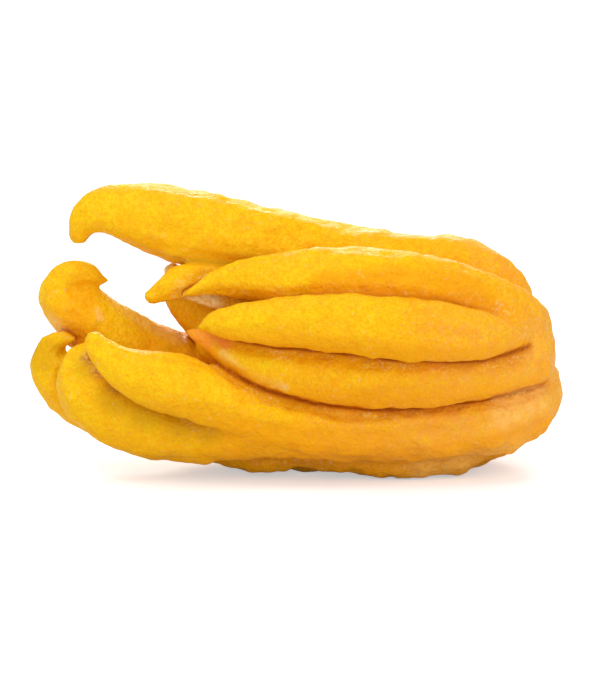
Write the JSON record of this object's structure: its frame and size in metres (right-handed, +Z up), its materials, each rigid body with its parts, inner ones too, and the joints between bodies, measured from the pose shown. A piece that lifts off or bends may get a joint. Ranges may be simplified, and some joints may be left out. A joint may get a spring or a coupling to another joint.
{
  "type": "buddha's hand citron",
  "caption": "Whole yellow fingered citron lying on its side: long fused fingers that curl and part at one end, and a short cut stalk in a dimple at the other.",
  "frame": {"origin": "on the surface it lies on, under the middle of its length and width", "axes": "+X from the finger tips towards the stem end, +Z up, -Y towards the side with the short middle finger"},
  "size_m": [0.2006, 0.1108, 0.1096],
  "materials": {
    "rind": "waxy lemon yellow rind turning orange towards the stem end, pitted with oil glands",
    "stalk_bark": "dull green and brown bark with a pale dry cut"
  },
  "bodies": {
    "root": {"citron": "rind", "stalk": "stalk_bark"}
  },
  "joints": []
}
